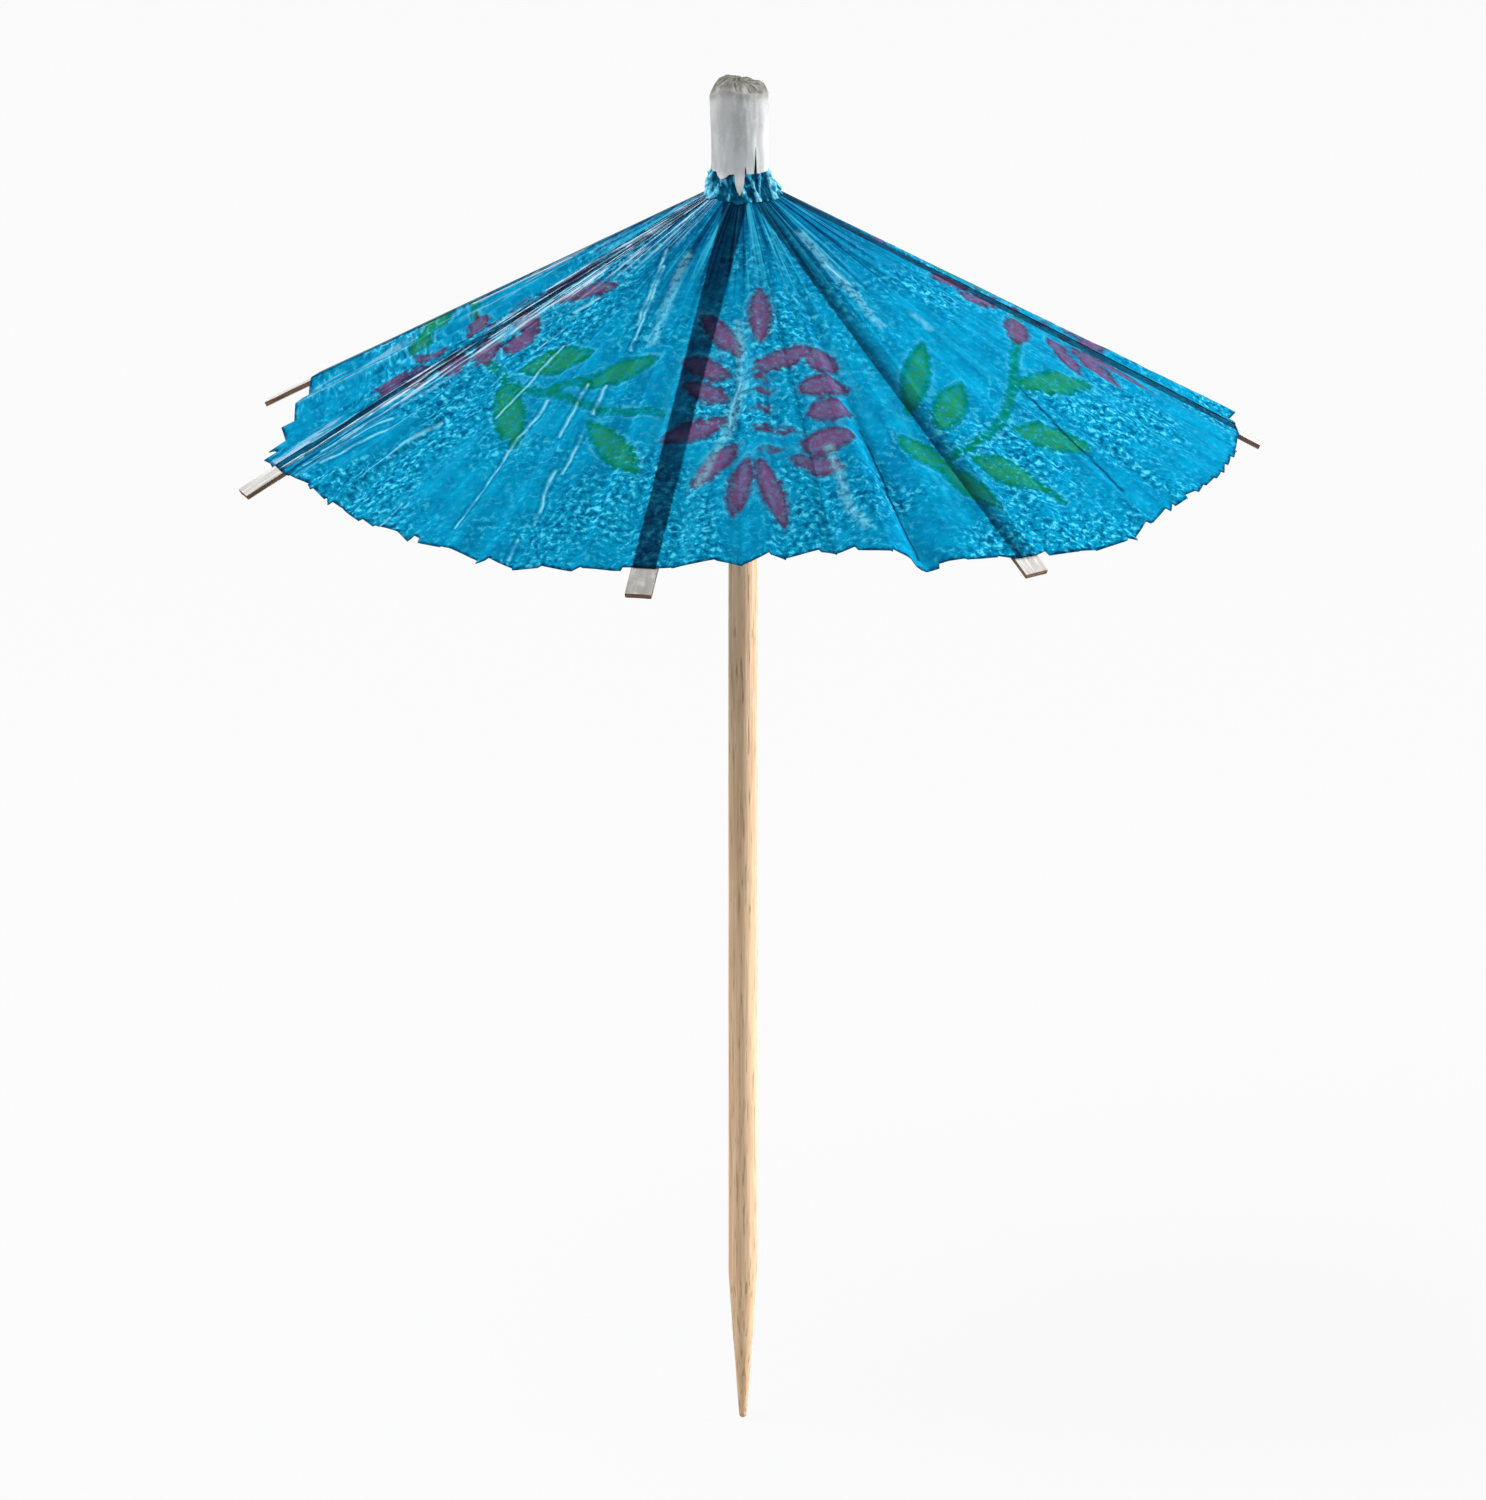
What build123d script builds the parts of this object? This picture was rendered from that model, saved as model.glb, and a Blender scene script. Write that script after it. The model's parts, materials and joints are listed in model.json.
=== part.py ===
from build123d import *
from math import asin, atan, atan2, cos, degrees, hypot, radians, sin, tan
import os

# A cocktail umbrella pick, open: a sharpened stick, a folding frame of card strips and a pleated paper canopy.
# Millimetres, +Z up along the stick, origin on the stick's axis where its sharpened point ends.
# Azimuths are degrees round the stick, from the front (-Y) towards +X.

# Stick
STICK_RADIUS = 1.05
TOP_THINNING = 0.05  # how much thinner the stick is in the crown
POINT_LENGTH = 11.0
POINT_END_RADIUS = 0.25
SHANK_LENGTH = 48.0  # straight, full-radius stretch above the point

# Crown: paper and card rolled round the top of the stick, from the inside out
HINGE_HEIGHT = 80.0  # the crease where the ribs leave the crown
CROWN_CORE_WALL = 0.5
CROWN_CORE_DROP = 0.5  # the core's lower end, below the crease
RIB_BAND_WALL = 0.2
RIB_BAND_RISE = 0.45  # the band's lower edge, above the crease
RIB_BAND_HEIGHT = 5.5
COLLAR_WALL = 0.15
COLLAR_RISE = 0.5
COLLAR_HEIGHT = 3.8
COLLAR_FLARE = 0.2  # how far the gathered paper spreads at its lower edge
COLLAR_FLARE_HEIGHT = 1.1
FINIAL_WALL = 0.25
FINIAL_RISE = 2.1
FINIAL_HEIGHT = 6.9
FINIAL_TOP = 1.2  # thickness of the folded-in top
FINIAL_ROUNDING = 0.45

# Ribs
RIB_AZIMUTHS = (-11.5, 34, 95, 133, 171, 209, 247, 286)
OPEN_ANGLE = 29.0  # slope of an open rib, below the horizontal
RIB_OVERHANG = 2.3  # how far a rib's end stands out past the paper
RIB_WIDTH = 1.9
RIB_THICKNESS = 0.4
RIB_FLARE = 13.0  # length over which a rib widens from its root
CREASE_CLEARANCE = 0.15  # between a rib's root and the crown
SIDE_CLEARANCE = 0.06  # between neighbouring strips at their roots

# Stretchers
STRETCHER_REACH = 17.0  # from a rib's crease to its stretcher's crease, along the rib
STRETCHER_WIDTH = 1.3
STRETCHER_THICKNESS = 0.3
TAB_LENGTH = 4.0
TAB_CLEARANCE = 0.15  # between a tab's end and its stretcher's rounded end
FOLD_CLEARANCE = 0.1  # between a stretcher's rounded end and its rib

# Runner
RUNNER_CLEARANCE = 0.08
RUNNER_CORE_WALL = 0.35
RUNNER_CORE_RISE = 1.0  # the core's upper end, above the stretchers' lower creases
RUNNER_CORE_LENGTH = 6.5
STRETCHER_BAND_WALL = 0.2
STRETCHER_BAND_DROP = 0.35  # the band's upper edge, below those creases
STRETCHER_BAND_HEIGHT = 4.2
RUNNER_WRAP_WALL = 0.12
RUNNER_WRAP_DROP = 1.5
RUNNER_WRAP_HEIGHT = 3.4

# Stop ring
RING_CLEARANCE = 0.05
RING_WALL = 0.35
RING_HEIGHT = 1.2
RING_ROUNDING = 0.14
RING_GAP = 0.1  # below the runner

# Canopy
PAPER_REACH = 37.2  # from the ribs' crease to the rim, along a rib
PAPER_THICKNESS = 0.12
PAPER_GAP = 0.1  # between a rib's top and the paper
PAPER_TOP_RISE = 0.25  # the canopy's upper edge, above the ribs' crease
PLEAT_ANGLE = 6.5  # azimuth taken by one pleat
PLEAT_DEPTH = 1.0  # crest to valley at the rim
RIM_COVER = 1.05  # half the flat width over a rib, at the rim
TOP_COVER = 0.4  # the same at the canopy's upper edge
SEAM_GAP = 0.12  # between panels, at the crease midway between two ribs

# Worked out from the sizes above
SLOPE = radians(OPEN_ANGLE)
RIB_LENGTH = PAPER_REACH + RIB_OVERHANG
STICK_TOP_RADIUS = STICK_RADIUS - TOP_THINNING
RIB_BAND_INNER = STICK_TOP_RADIUS + CROWN_CORE_WALL
COLLAR_INNER = RIB_BAND_INNER + RIB_BAND_WALL
FINIAL_INNER = COLLAR_INNER + COLLAR_WALL
FINIAL_BOTTOM = HINGE_HEIGHT + FINIAL_RISE
CROWN_TOP = FINIAL_BOTTOM + FINIAL_HEIGHT - FINIAL_TOP

RUNNER_BORE = STICK_RADIUS + RUNNER_CLEARANCE
STRETCHER_BAND_INNER = RUNNER_BORE + RUNNER_CORE_WALL
RUNNER_WRAP_INNER = STRETCHER_BAND_INNER + STRETCHER_BAND_WALL
RUNNER_RADIUS = RUNNER_WRAP_INNER + RUNNER_WRAP_WALL

# Both rows of creases stand at one radius, so that each rib and its stretcher fold as equal links
HINGE_RADIUS = max(
    FINIAL_INNER + CREASE_CLEARANCE + RIB_THICKNESS / 2,
    RUNNER_RADIUS + CREASE_CLEARANCE + STRETCHER_THICKNESS / 2,
)
CREASE_DROP = RIB_THICKNESS / 2 + FOLD_CLEARANCE + STRETCHER_THICKNESS / 2
LINK_LENGTH = hypot(STRETCHER_REACH, CREASE_DROP)
LINK_SLOPE = SLOPE + atan(CREASE_DROP / STRETCHER_REACH)
RUNNER_HEIGHT = HINGE_HEIGHT - 2 * LINK_LENGTH * sin(LINK_SLOPE)
RUNNER_BOTTOM = RUNNER_HEIGHT + RUNNER_CORE_RISE - RUNNER_CORE_LENGTH

RIB_COUNT = len(RIB_AZIMUTHS)
GORES = [(RIB_AZIMUTHS[(i + 1) % RIB_COUNT] - RIB_AZIMUTHS[i]) % 360 for i in range(RIB_COUNT)]


def radial(azimuth):
    """The level direction away from the stick."""
    return Vector(sin(radians(azimuth)), -cos(radians(azimuth)), 0)


def tangent(azimuth):
    """The level direction along a crease, with the azimuth growing."""
    return Vector(cos(radians(azimuth)), sin(radians(azimuth)), 0)


def crease_point(azimuth):
    """The middle of a rib's crease."""
    return radial(azimuth) * HINGE_RADIUS + Vector(0, 0, HINGE_HEIGHT)


def rib_plane(azimuth):
    """X down along the open rib, Y along its crease, Z out of its upper face."""
    level, up = radial(azimuth), Vector(0, 0, 1)
    along = level * cos(SLOPE) - up * sin(SLOPE)
    upper = level * sin(SLOPE) + up * cos(SLOPE)
    return Plane(origin=crease_point(azimuth), x_dir=along, z_dir=upper)


def stretcher_plane(azimuth):
    """X from the stretcher's upper crease down to the runner, Y along that crease."""
    level, up = radial(azimuth), Vector(0, 0, 1)
    outward = level * cos(LINK_SLOPE) - up * sin(LINK_SLOPE)
    inward = level * -cos(LINK_SLOPE) - up * sin(LINK_SLOPE)
    lower = level * sin(LINK_SLOPE) - up * cos(LINK_SLOPE)
    return Plane(origin=crease_point(azimuth) + outward * LINK_LENGTH, x_dir=inward, z_dir=lower)


def root_width(thickness):
    """The widest strip that clears its neighbours where the strips stand closest round the stick."""
    inner_face = HINGE_RADIUS - thickness / 2
    return 2 * (inner_face * tan(radians(min(GORES)) / 2) - SIDE_CLEARANCE)


def tube(inner, outer, bottom, top):
    ring = Circle(outer) - Circle(inner)
    return Pos(0, 0, bottom) * extrude(ring, amount=top - bottom)


def turned(*points):
    """A solid of revolution from (radius, height) points."""
    profile = make_face(Polyline(*[(r, 0, z) for r, z in points], close=True))
    return revolve(profile, axis=Axis.Z)


def rounded_end(at, width, thickness):
    return Pos(at, 0, 0) * Rot(90, 0, 0) * Cylinder(thickness / 2, width)


def pick_stick():
    return turned(
        (0, -POINT_LENGTH),
        (POINT_END_RADIUS, -POINT_LENGTH),
        (STICK_RADIUS, 0),
        (STICK_RADIUS, SHANK_LENGTH),
        (STICK_TOP_RADIUS, HINGE_HEIGHT - CROWN_CORE_DROP),
        (STICK_TOP_RADIUS, CROWN_TOP),
        (0, CROWN_TOP),
    )


def crown_core():
    return tube(STICK_TOP_RADIUS, RIB_BAND_INNER, HINGE_HEIGHT - CROWN_CORE_DROP, CROWN_TOP)


def rib_band():
    bottom = HINGE_HEIGHT + RIB_BAND_RISE
    return tube(RIB_BAND_INNER, COLLAR_INNER, bottom, bottom + RIB_BAND_HEIGHT)


def canopy_collar():
    """The canopy paper where it is gathered round the rib band and glued."""
    bottom = HINGE_HEIGHT + COLLAR_RISE
    return turned(
        (COLLAR_INNER, bottom),
        (FINIAL_INNER + COLLAR_FLARE, bottom),
        (FINIAL_INNER, bottom + COLLAR_FLARE_HEIGHT),
        (FINIAL_INNER, bottom + COLLAR_HEIGHT),
        (COLLAR_INNER, bottom + COLLAR_HEIGHT),
    )


def finial_wrap():
    """A white paper wrap, folded in over the end of the stick."""
    outer = FINIAL_INNER + FINIAL_WALL
    wrap = Pos(0, 0, FINIAL_BOTTOM) * extrude(Circle(outer), amount=FINIAL_HEIGHT)
    top_edge = wrap.edges().sort_by(Axis.Z)[-1]
    wrap = fillet(top_edge, FINIAL_ROUNDING)
    hollow = extrude(Circle(FINIAL_INNER), amount=CROWN_TOP - FINIAL_BOTTOM)
    return wrap - Pos(0, 0, FINIAL_BOTTOM) * hollow


def rib(azimuth):
    """A flat card strip with a rounded root on its crease."""
    root = min(RIB_WIDTH, root_width(RIB_THICKNESS)) / 2
    half = RIB_WIDTH / 2
    outline = [(0, -root), (RIB_FLARE, -half), (RIB_LENGTH, -half)]
    outline += [(x, -y) for x, y in reversed(outline)]
    strip = extrude(make_face(Polyline(*outline, close=True)), amount=RIB_THICKNESS / 2, both=True)
    return rib_plane(azimuth) * (strip + rounded_end(0, 2 * root, RIB_THICKNESS))


def stretcher(azimuth):
    """A card strip from the rib down to the runner, rounded on both of its creases."""
    width = min(STRETCHER_WIDTH, root_width(STRETCHER_THICKNESS))
    strip = Pos(LINK_LENGTH / 2, 0, 0) * Box(LINK_LENGTH, width, STRETCHER_THICKNESS)
    strip += rounded_end(0, width, STRETCHER_THICKNESS)
    strip += rounded_end(LINK_LENGTH, width, STRETCHER_THICKNESS)
    return stretcher_plane(azimuth) * strip


def stretcher_tab(azimuth):
    """The end of the stretcher's card, folded flat and glued under the rib."""
    width = min(STRETCHER_WIDTH, root_width(STRETCHER_THICKNESS))
    outer_end = STRETCHER_REACH - STRETCHER_THICKNESS / 2 - TAB_CLEARANCE
    middle = Pos(outer_end - TAB_LENGTH / 2, 0, -(RIB_THICKNESS + STRETCHER_THICKNESS) / 2)
    return rib_plane(azimuth) * middle * Box(TAB_LENGTH, width, STRETCHER_THICKNESS)


def half_gore(base, cover, reach, pleat_count, pleat):
    """(radius, azimuth) points from a rib's edge to the crease at the middle of the gore."""
    first = degrees(atan2(cover, base))
    last = reach - degrees(asin(SEAM_GAP / 2 / base))
    steps = 2 * pleat_count - 1
    points = [(hypot(base, cover), first)]
    for step in range(1, steps + 1):
        height = -pleat if step % 2 else pleat
        points.append((base + height, first + (last - first) * step / steps))
    return points


def panel_section(index, height, cover, pleat_share):
    """A level cut through one panel: a thin zigzag band with a flat middle over the rib."""
    pleat = PLEAT_DEPTH / 2 / sin(SLOPE) * pleat_share
    wall = PAPER_THICKNESS / sin(SLOPE)
    under = HINGE_RADIUS + (HINGE_HEIGHT - height) / tan(SLOPE)
    under += (RIB_THICKNESS / 2 + PAPER_GAP) / sin(SLOPE)
    edges = []
    for base in (under, under + wall):
        line = []
        for side, gore in ((-1, GORES[index - 1]), (1, GORES[index])):
            count = max(1, round(gore / 2 / PLEAT_ANGLE))
            half = [(r, side * turn) for r, turn in half_gore(base, cover, gore / 2, count, pleat)]
            line += half[::-1] if side < 0 else half
        edges.append(line)
    outline = edges[0] + edges[1][::-1]
    azimuth = RIB_AZIMUTHS[index]
    points = [radial(azimuth + turn) * r + Vector(0, 0, height) for r, turn in outline]
    return make_face(Polyline(*points, close=True))


def canopy_panel(index):
    """The pleated paper that one rib carries, as far as the creases midway to its neighbours."""
    rim_height = HINGE_HEIGHT - PAPER_REACH * sin(SLOPE)
    upper = panel_section(index, HINGE_HEIGHT + PAPER_TOP_RISE, TOP_COVER, 0)
    rim = panel_section(index, rim_height, RIM_COVER, 1)
    return loft([upper, rim], ruled=True)


def runner_core():
    return tube(RUNNER_BORE, STRETCHER_BAND_INNER, RUNNER_BOTTOM, RUNNER_BOTTOM + RUNNER_CORE_LENGTH)


def stretcher_band():
    top = RUNNER_HEIGHT - STRETCHER_BAND_DROP
    return tube(STRETCHER_BAND_INNER, RUNNER_WRAP_INNER, top - STRETCHER_BAND_HEIGHT, top)


def runner_wrap():
    top = RUNNER_HEIGHT - RUNNER_WRAP_DROP
    return tube(RUNNER_WRAP_INNER, RUNNER_RADIUS, top - RUNNER_WRAP_HEIGHT, top)


def stop_ring():
    """The small elastic ring that keeps the runner up."""
    bore = STICK_RADIUS + RING_CLEARANCE
    top = RUNNER_BOTTOM - RING_GAP
    ring = tube(bore, bore + RING_WALL, top - RING_HEIGHT, top)
    return fillet(ring.edges().filter_by(GeomType.CIRCLE), RING_ROUNDING)


def all_nodes():
    nodes = {
        "pick_stick": pick_stick(),
        "crown_core": crown_core(),
        "rib_band": rib_band(),
        "canopy_collar": canopy_collar(),
        "finial_wrap": finial_wrap(),
        "runner_core": runner_core(),
        "stretcher_band": stretcher_band(),
        "runner_wrap": runner_wrap(),
        "stop_ring": stop_ring(),
    }
    for index, azimuth in enumerate(RIB_AZIMUTHS):
        number = index + 1
        nodes[f"rib_{number}"] = rib(azimuth)
        nodes[f"stretcher_tab_{number}"] = stretcher_tab(azimuth)
        nodes[f"stretcher_{number}"] = stretcher(azimuth)
        nodes[f"canopy_panel_{number}"] = canopy_panel(index)
    return nodes


os.makedirs("parts", exist_ok=True)
for name, solid in all_nodes().items():
    export_step(solid, f"parts/{name}.step")
print(f"crease radius {HINGE_RADIUS:.3f}, runner crease height {RUNNER_HEIGHT:.3f}, link {LINK_LENGTH:.3f}")
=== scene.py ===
import json
from collections import namedtuple
from math import atan2, cos, degrees, hypot, pi, radians, sin

import bpy
import numpy as np
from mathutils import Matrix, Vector, noise


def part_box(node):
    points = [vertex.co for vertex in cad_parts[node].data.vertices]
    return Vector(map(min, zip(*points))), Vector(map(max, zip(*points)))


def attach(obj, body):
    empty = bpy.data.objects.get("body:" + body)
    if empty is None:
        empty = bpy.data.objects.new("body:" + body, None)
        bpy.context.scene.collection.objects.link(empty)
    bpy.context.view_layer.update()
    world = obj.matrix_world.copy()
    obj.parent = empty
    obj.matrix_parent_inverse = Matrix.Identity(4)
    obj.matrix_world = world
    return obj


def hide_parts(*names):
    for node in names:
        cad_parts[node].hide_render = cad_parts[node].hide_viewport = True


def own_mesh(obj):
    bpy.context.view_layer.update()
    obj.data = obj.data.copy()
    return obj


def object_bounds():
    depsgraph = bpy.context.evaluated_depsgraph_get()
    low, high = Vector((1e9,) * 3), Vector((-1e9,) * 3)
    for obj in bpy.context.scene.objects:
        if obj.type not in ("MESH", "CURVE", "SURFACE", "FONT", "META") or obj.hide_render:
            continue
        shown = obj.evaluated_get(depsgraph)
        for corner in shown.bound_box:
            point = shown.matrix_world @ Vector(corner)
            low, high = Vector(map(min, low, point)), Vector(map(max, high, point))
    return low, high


# A cocktail umbrella pick: the looks of its paper, card, wood and ring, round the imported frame.
# Sizes are millimetres in the frame of the pick, with +Z up the stick. Azimuths are degrees from the
# front (-Y), growing towards +X.

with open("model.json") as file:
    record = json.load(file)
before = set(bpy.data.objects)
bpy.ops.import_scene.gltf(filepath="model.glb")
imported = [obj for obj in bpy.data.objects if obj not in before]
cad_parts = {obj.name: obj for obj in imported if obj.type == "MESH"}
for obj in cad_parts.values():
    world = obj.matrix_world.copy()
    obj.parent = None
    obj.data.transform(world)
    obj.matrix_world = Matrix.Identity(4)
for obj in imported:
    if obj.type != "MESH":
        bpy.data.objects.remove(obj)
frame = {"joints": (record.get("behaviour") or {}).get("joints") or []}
cad_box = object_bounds()

MM = 0.001
SEED = 7

# Ribs
OPEN_ANGLE = 29.0  # slope of an open rib, below the horizontal
RIB_LENGTH = 39.5
RIB_HALF = 0.95
RIB_ROOT_HALF = 0.66
RIB_FLARE = 13.0
RIB_THICKNESS = 0.4

# Stretchers
STRETCHER_REACH = 17.0
STRETCHER_HALF = 0.65
STRETCHER_THICKNESS = 0.3
STRETCHER_GAP = 0.1
TAB_START = 12.7
TAB_LENGTH = 4.0

# Canopy paper
PAPER_REACH = 37.2  # from the crease to the rim
PAPER_START = 0.05
PAPER_THICKNESS = 0.07
PAPER_UNDER = 0.26  # underside of the paper above the middle of a rib
STRIP_HALF = 0.74  # the paper glued flat on a rib
PLEAT_ANGLE = 6.5
GORE_RISES = (0.22, 0.15, 0.5, 0.5, 0.5, 0.45, 0.45, 0.2)  # crests above the mean surface at the rim
GORE_SAGS = (0.0, 0.2, 2.4, 1.8, 1.8, 2.1, 2.6, 0.3)  # how far the middle of a gore sinks at the rim
GORE_GLINTS = (0.0, 0.0, 0.3, 0.3, 0.3, 0.3, 0.6, 0.0)  # how bright the highlights painted on the crests of a gore are
PAPER_ROWS = 66
SHADOW_HALF = 0.86  # half width of a rib's shade in the paper
RIM_SWELL = (  # azimuth, and how far the rim is cut beyond the even circle there
    (-180, 0.0), (-130, 0.0), (-113, -1.8), (-95, -0.3), (-74, -0.9), (-64, -1.2), (-52, -0.5), (-40, -0.3),
    (-32, 0.5), (-24, 0.6), (-14, 0.0), (-5, -1.1), (5, -1.5), (14, -1.7), (18, -0.2), (25, 0.1),
    (32, 0.4), (40, 1.3), (48, 1.5), (58, 0.3), (70, -0.1), (85, 0.1), (100, 0.4), (140, 0.1), (180, 0.0),
)
RIB_TONES = (  # how dark each rib shows through the paper, at its left and right edge
    (1.0, 0.98), (0.92, 0.4), (0.95, 0.9), (0.8, 0.8), (0.8, 0.8), (0.8, 0.8), (0.8, 0.8), (0.75, 0.9),
)
RIB_PAINTED_LINES = {8: 1.0, 7: 0.3}  # ribs along which fine lines of painted glints and painted shade run in the paper, and how strong
RIB_SOIL = {1: 0.8, 8: 0.2, 2: 0.15}  # ribs whose card is dirty, and how far
FOLDS_ROUND = 21.0  # the small folds that run outwards: how many lie side by side
FOLDS_ALONG = 0.05  # and how soon they change on the way out
FACET_STEPS = (0.0, 0.07, 0.2, 0.4, 0.6, 0.8, 0.93)
DEEP_FOLDS = ((17.2, 1.4, 3.4), (21.9, -0.7, 2.8), (101.0, 1.1, 5.0))  # azimuth, height and half width

SLOPE = radians(OPEN_ANGLE)
UP = np.array([0.0, 0.0, 1.0])
Rib = namedtuple("Rib", "number azimuth crease along across upper")
Half = namedtuple("Half", "side angle fractions heights rims nicks glints sag")


def radial(azimuth):
    turn = np.radians(azimuth)
    return np.stack([np.sin(turn), -np.cos(turn), np.zeros_like(turn)], -1)


def smooth(low, high, value):
    t = np.clip((value - low) / (high - low), 0, 1)
    return t * t * (3 - 2 * t)


def tent(turn, middle, half_width, full=2 * pi):
    """One at the middle of a turn, falling evenly to nothing at half_width."""
    away = np.abs((turn - middle + full / 2) % full - full / 2)
    return np.clip(1 - away / half_width, 0, 1)


def ribs_of_frame():
    """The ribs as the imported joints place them."""
    found = []
    for joint in frame["joints"]:
        body = joint["child"]
        if not body.startswith("rib_"):
            continue
        crease = np.array(joint["pos_m"]) / MM
        azimuth = degrees(atan2(crease[0], -crease[1]))
        level = radial(np.array(azimuth))
        along = level * cos(SLOPE) - UP * sin(SLOPE)
        upper = level * sin(SLOPE) + UP * cos(SLOPE)
        found.append(Rib(int(body[4:]), azimuth, crease, along, np.array(joint["axis"]), upper))
    return sorted(found)


RIBS = ribs_of_frame()
HINGE_RADIUS = hypot(*RIBS[0].crease[:2])
HINGE_HEIGHT = RIBS[0].crease[2]
GORES = [(RIBS[(i + 1) % len(RIBS)].azimuth - rib.azimuth) % 360 for i, rib in enumerate(RIBS)]


# Meshes

def add_object(name, data, location=(0, 0, 0)):
    made = bpy.data.objects.new(name, data)
    made.location = location
    bpy.context.scene.collection.objects.link(made)
    return made


def add_mesh(name, points, faces, material, body, nodes, sharp):
    """A piece that rides on a body in place of its nodes. Edges sharper than this angle stay sharp."""
    mesh = bpy.data.meshes.new(name)
    mesh.from_pydata((np.asarray(points) * MM).tolist(), [], faces)
    mesh.materials.append(material)
    mesh.shade_smooth()
    mesh.set_sharp_from_angle(angle=radians(sharp))
    piece = add_object(name, mesh)
    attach(piece, body)
    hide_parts(*nodes)
    return piece


def add_numbers(piece, name, values, domain="POINT"):
    """A number or a vector for each point or face."""
    values = np.asarray(values, np.float32)
    count = len(piece.data.vertices if domain == "POINT" else piece.data.polygons)
    kind, key = ("FLOAT", "value") if values.size == count else ("FLOAT_VECTOR", "vector")
    piece.data.attributes.new(name, kind, domain).data.foreach_set(key, values.ravel())


def add_to_sheet(piece, **layers):
    """Numbers or vectors on the grid of a sheet, the same for both its faces."""
    for name, values in layers.items():
        add_numbers(piece, name, np.stack([values, values]))


def solid_sheet(outer, inner):
    """Points and faces of a thin closed sheet between two grids of points."""
    rows, columns = outer.shape[:2]
    shift = rows * columns
    index = np.arange(shift).reshape(rows, columns)
    a, b, c, d = index[:-1, :-1], index[:-1, 1:], index[1:, 1:], index[1:, :-1]
    over = np.stack([a, d, c, b], -1).reshape(-1, 4)
    under = np.stack([a, b, c, d], -1).reshape(-1, 4) + shift
    border = np.concatenate([index[0], index[1:, -1], index[-1, -2::-1], index[-2:0:-1, 0]])
    after = np.roll(border, -1)
    rim = np.stack([border, after, after + shift, border + shift], -1)
    points = np.concatenate([outer.reshape(-1, 3), inner.reshape(-1, 3)])
    return points, np.concatenate([over, under, rim]).tolist()


def tube_faces(rings, count):
    """Faces of a closed loft through equal rings of points, with both ends capped."""
    here = np.arange(count)
    after = np.roll(here, -1)
    band = np.stack([here, after, after + count, here + count], -1)
    faces = np.concatenate([band + r * count for r in range(rings - 1)]).tolist()
    return faces + [here[::-1].tolist(), (here + (rings - 1) * count).tolist()]


def flipped(faces):
    return [face[::-1] for face in faces]


def grid(*coordinates):
    """Points from three coordinates that are spread over one grid."""
    return np.stack(np.broadcast_arrays(*coordinates), -1)


def ripple(points, scale):
    """Smooth noise from -1 to 1 at each point."""
    flat = np.asarray(points).reshape(-1, 3) * scale
    values = [noise.noise(Vector(p)) for p in flat]
    return np.array(values).reshape(np.asarray(points).shape[:-1])


# Print on the canopy: places are (azimuth, slant distance from the crease), as it lies on the open paper

PRINT_TURNS = (0, 180)  # the print comes twice round the canopy
FLOWERS = ((5.6, 20.7, 0), (100.5, 19.5, 25))  # place, and turn of the flower
PETALS = (  # both ends, across and down from the flower's middle, and half width
    (0.2, -12.1, -0.3, -5.9, 0.95), (-4.2, -9.9, -1.5, -4.8, 1.0), (-6.0, -5.5, -2.5, -2.9, 1.1),
    (-6.1, -3.0, -2.7, -0.5, 1.0), (-8.3, 2.7, -2.8, 1.1, 1.1), (-6.4, 7.8, -2.4, 3.3, 0.95),
    (-3.8, 11.0, -2.0, 4.7, 0.95), (-1.4, 5.0, 0.0, 12.4, 1.0), (0.6, 5.3, 4.8, 6.8, 1.0),
    (1.4, 4.2, 5.7, 3.4, 1.3), (2.2, 1.1, 5.8, 0.4, 1.3), (1.7, -1.4, 5.9, -2.3, 1.2),
    (2.6, -5.2, 5.2, -3.8, 1.35), (-1.3, -3.5, 3.8, -5.9, 1.0),
)
STAMENS = (  # their middles
    (-0.6, -2.8), (-0.4, -1.4), (-0.5, 0.3), (-0.7, 2.3), (-0.4, 4.4), (0.7, 2.6),
)
STAMEN_REACH = 1.0  # to either side
STAMEN_HALF = 0.45
LEAVES = (  # base, tip and half width
    ((-52.8, 20.2), (-38.3, 16.5), 1.5), ((-35.4, 20.3), (-20.3, 15.9), 1.15),
    ((-54.0, 21.4), (-37.9, 27.0), 1.3), ((-29.6, 22.9), (-15.4, 28.3), 1.2),
    ((30.5, 23.2), (50.1, 16.3), 1.1), ((34.2, 25.1), (48.4, 20.9), 1.3),
    ((58.6, 22.8), (79.0, 26.3), 1.4), ((48.0, 26.1), (59.3, 30.4), 1.6),
    ((36.9, 27.6), (44.2, 32.5), 1.45), ((26.3, 24.4), (32.0, 28.9), 1.1),
    ((30.7, 27.6), (35.4, 33.3), 1.1),
)
STEMS = (
    ((-67.4, 20.2), (-50.9, 21.5), (-40.8, 21.3), (-32.5, 21.5), (-26.9, 22.0), (-15.4, 21.6)),
    ((-42.7, 21.2), (-34.9, 19.3)),
    ((93.8, 19.5), (68.6, 20.9), (58.0, 23.0), (49.8, 24.9), (43.3, 26.2), (37.4, 26.9), (31.5, 27.9)),
    ((44.1, 32.0), (44.9, 33.6)),
)
STEM_HALF = 0.4
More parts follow.
